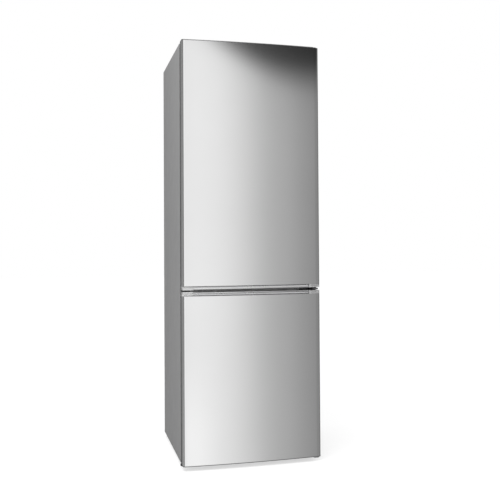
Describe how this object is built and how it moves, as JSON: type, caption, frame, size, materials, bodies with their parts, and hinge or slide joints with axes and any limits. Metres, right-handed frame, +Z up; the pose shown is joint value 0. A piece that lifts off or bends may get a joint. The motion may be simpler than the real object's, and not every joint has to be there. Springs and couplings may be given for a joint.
{
  "type": "bottom freezer refrigerator",
  "caption": "Tall free-standing refrigerator: bowed metal doors hinged on the right, a coved hand slot between them, glass shelves above and freezer drawers below.",
  "frame": {"origin": "on the floor, under the middle of the whole object", "axes": "+Z up, doors face -Y, +X to the right of someone facing the doors (the hinge side)"},
  "size_m": [0.6, 0.65, 1.8],
  "materials": {
    "brushed_steel": "vertical-lit brushed stainless sheet, semi-gloss",
    "cabinet_paint": "grey painted sheet, satin",
    "zinc_steel": "zinc-plated sheet, dull",
    "white_liner": "white thermoformed plastic, semi-gloss",
    "foam_fill": "rigid insulating foam, open grain",
    "grip_metal": "smooth metallic coved edge, glossy",
    "grey_plastic": "grey moulded plastic, satin",
    "black_plastic": "black moulded plastic, matt",
    "seal_rubber": "soft grey magnetic seal, matt",
    "clear_glass": "toughened clear glass, polished",
    "clear_plastic": "clear moulded plastic, glossy",
    "black_paint": "black stove enamel, satin",
    "copper": "drawn copper tube, dull",
    "aluminium": "bare aluminium, dull",
    "lamp_diffuser": "milky clear plastic, satin"
  },
  "bodies": {
    "cabinet": {"side_panel_left": "cabinet_paint", "side_panel_right": "cabinet_paint", "top_panel": "cabinet_paint", "back_panel": "zinc_steel", "base_plate": "zinc_steel", "compressor_rail": "zinc_steel", "cabinet_foam": "foam_fill", "fridge_liner": "white_liner", "freezer_liner": "white_liner", "fridge_evaporator": "aluminium", "middle_beam": "cabinet_paint", "kick_plate": "black_plastic", "top_hinge": "zinc_steel", "middle_hinge": "zinc_steel", "bottom_hinge": "zinc_steel", "foot_bracket_left": "zinc_steel", "compressor": "black_paint", "terminal_cover": "black_plastic", "evaporation_tray": "grey_plastic", "condenser": "black_paint", "filter_drier": "copper", "suction_pipe": "copper", "discharge_pipe": "copper", "glass_shelf_upper": "clear_glass", "glass_shelf_middle": "clear_glass", "glass_shelf_lower": "clear_glass", "crisper_cover": "clear_glass", "shelf_rail_upper": "grey_plastic", "shelf_rail_middle": "grey_plastic", "shelf_rail_lower": "grey_plastic", "control_housing": "white_liner", "lamp_lens": "lamp_diffuser", "freezer_evaporator_upper": "aluminium", "freezer_evaporator_lower": "aluminium"},
    "fridge_door": {"fridge_door_panel": "brushed_steel", "fridge_door_liner": "white_liner", "fridge_door_foam": "foam_fill", "fridge_door_cap": "grey_plastic", "fridge_grip": "grip_metal", "fridge_gasket": "seal_rubber", "dairy_bin": "clear_plastic", "door_bin": "clear_plastic", "bottle_bin": "clear_plastic"},
    "freezer_door": {"freezer_door_panel": "brushed_steel", "freezer_door_liner": "white_liner", "freezer_door_foam": "foam_fill", "freezer_door_cap": "grey_plastic", "freezer_grip": "grip_metal", "freezer_gasket": "seal_rubber"},
    "dairy_lid": {"dairy_lid": "clear_plastic"},
    "thermostat": {"thermostat_knob": "grey_plastic"},
    "light_switch": {"light_switch": "white_liner"},
    "crisper": {"crisper_drawer": "clear_plastic"},
    "freezer_drawer_top": {"freezer_drawer_top": "clear_plastic"},
    "freezer_drawer_middle": {"freezer_drawer_middle": "clear_plastic"},
    "freezer_drawer_bottom": {"freezer_drawer_bottom": "clear_plastic"},
    "foot_left": {"foot_left": "black_plastic"},
    "foot_right": {"foot_right": "black_plastic"},
    "roller_left": {"roller_left": "black_plastic"},
    "roller_right": {"roller_right": "black_plastic"}
  },
  "joints": [
    {"name": "fridge_door_hinge", "type": "hinge", "parent": "cabinet", "child": "fridge_door", "pos_m": [0.282, -0.298, 0.75], "axis": [0, 0, 1], "range_deg": [0, 120]},
    {"name": "freezer_door_hinge", "type": "hinge", "parent": "cabinet", "child": "freezer_door", "pos_m": [0.282, -0.298, 0.75], "axis": [0, 0, 1], "range_deg": [0, 120]},
    {"name": "dairy_lid_hinge", "type": "hinge", "parent": "fridge_door", "child": "dairy_lid", "pos_m": [0, -0.2614, 1.578], "axis": [1, 0, 0], "range_deg": [0, 80]},
    {"name": "thermostat_turn", "type": "hinge", "parent": "cabinet", "child": "thermostat", "pos_m": [-0.07, -0.1653, 1.723], "axis": [0, -1, 0], "range_deg": [0, 270]},
    {"name": "light_switch_slide", "type": "slide", "parent": "cabinet", "child": "light_switch", "axis": [0, -1, 0], "range_m": [0, 0.006]},
    {"name": "crisper_slide", "type": "slide", "parent": "cabinet", "child": "crisper", "axis": [0, -1, 0], "range_m": [0, 0.21]},
    {"name": "freezer_drawer_top_slide", "type": "slide", "parent": "cabinet", "child": "freezer_drawer_top", "axis": [0, -1, 0], "range_m": [0, 0.168]},
    {"name": "freezer_drawer_middle_slide", "type": "slide", "parent": "cabinet", "child": "freezer_drawer_middle", "axis": [0, -1, 0], "range_m": [0, 0.168]},
    {"name": "freezer_drawer_bottom_slide", "type": "slide", "parent": "cabinet", "child": "freezer_drawer_bottom", "axis": [0, -1, 0], "range_m": [0, 0.168]},
    {"name": "foot_left_turn", "type": "hinge", "parent": "cabinet", "child": "foot_left", "pos_m": [-0.276, -0.222, 0.02], "axis": [0, 0, 1], "continuous": true},
    {"name": "foot_right_turn", "type": "hinge", "parent": "cabinet", "child": "foot_right", "pos_m": [0.276, -0.222, 0.02], "axis": [0, 0, 1], "continuous": true},
    {"name": "roller_left_turn", "type": "hinge", "parent": "cabinet", "child": "roller_left", "pos_m": [-0.27, 0.296, 0.014], "axis": [1, 0, 0], "continuous": true},
    {"name": "roller_right_turn", "type": "hinge", "parent": "cabinet", "child": "roller_right", "pos_m": [0.27, 0.296, 0.014], "axis": [1, 0, 0], "continuous": true}
  ],
  "couplings": [
    {"joint": "light_switch_slide", "follows": "fridge_door_hinge", "m_per_rad": 0.0026},
    {"joint": "crisper_slide", "follows": "fridge_door_hinge", "m_per_rad": 0.1},
    {"joint": "freezer_drawer_top_slide", "follows": "freezer_door_hinge", "m_per_rad": 0.08},
    {"joint": "freezer_drawer_middle_slide", "follows": "freezer_door_hinge", "m_per_rad": 0.08},
    {"joint": "freezer_drawer_bottom_slide", "follows": "freezer_door_hinge", "m_per_rad": 0.08}
  ]
}
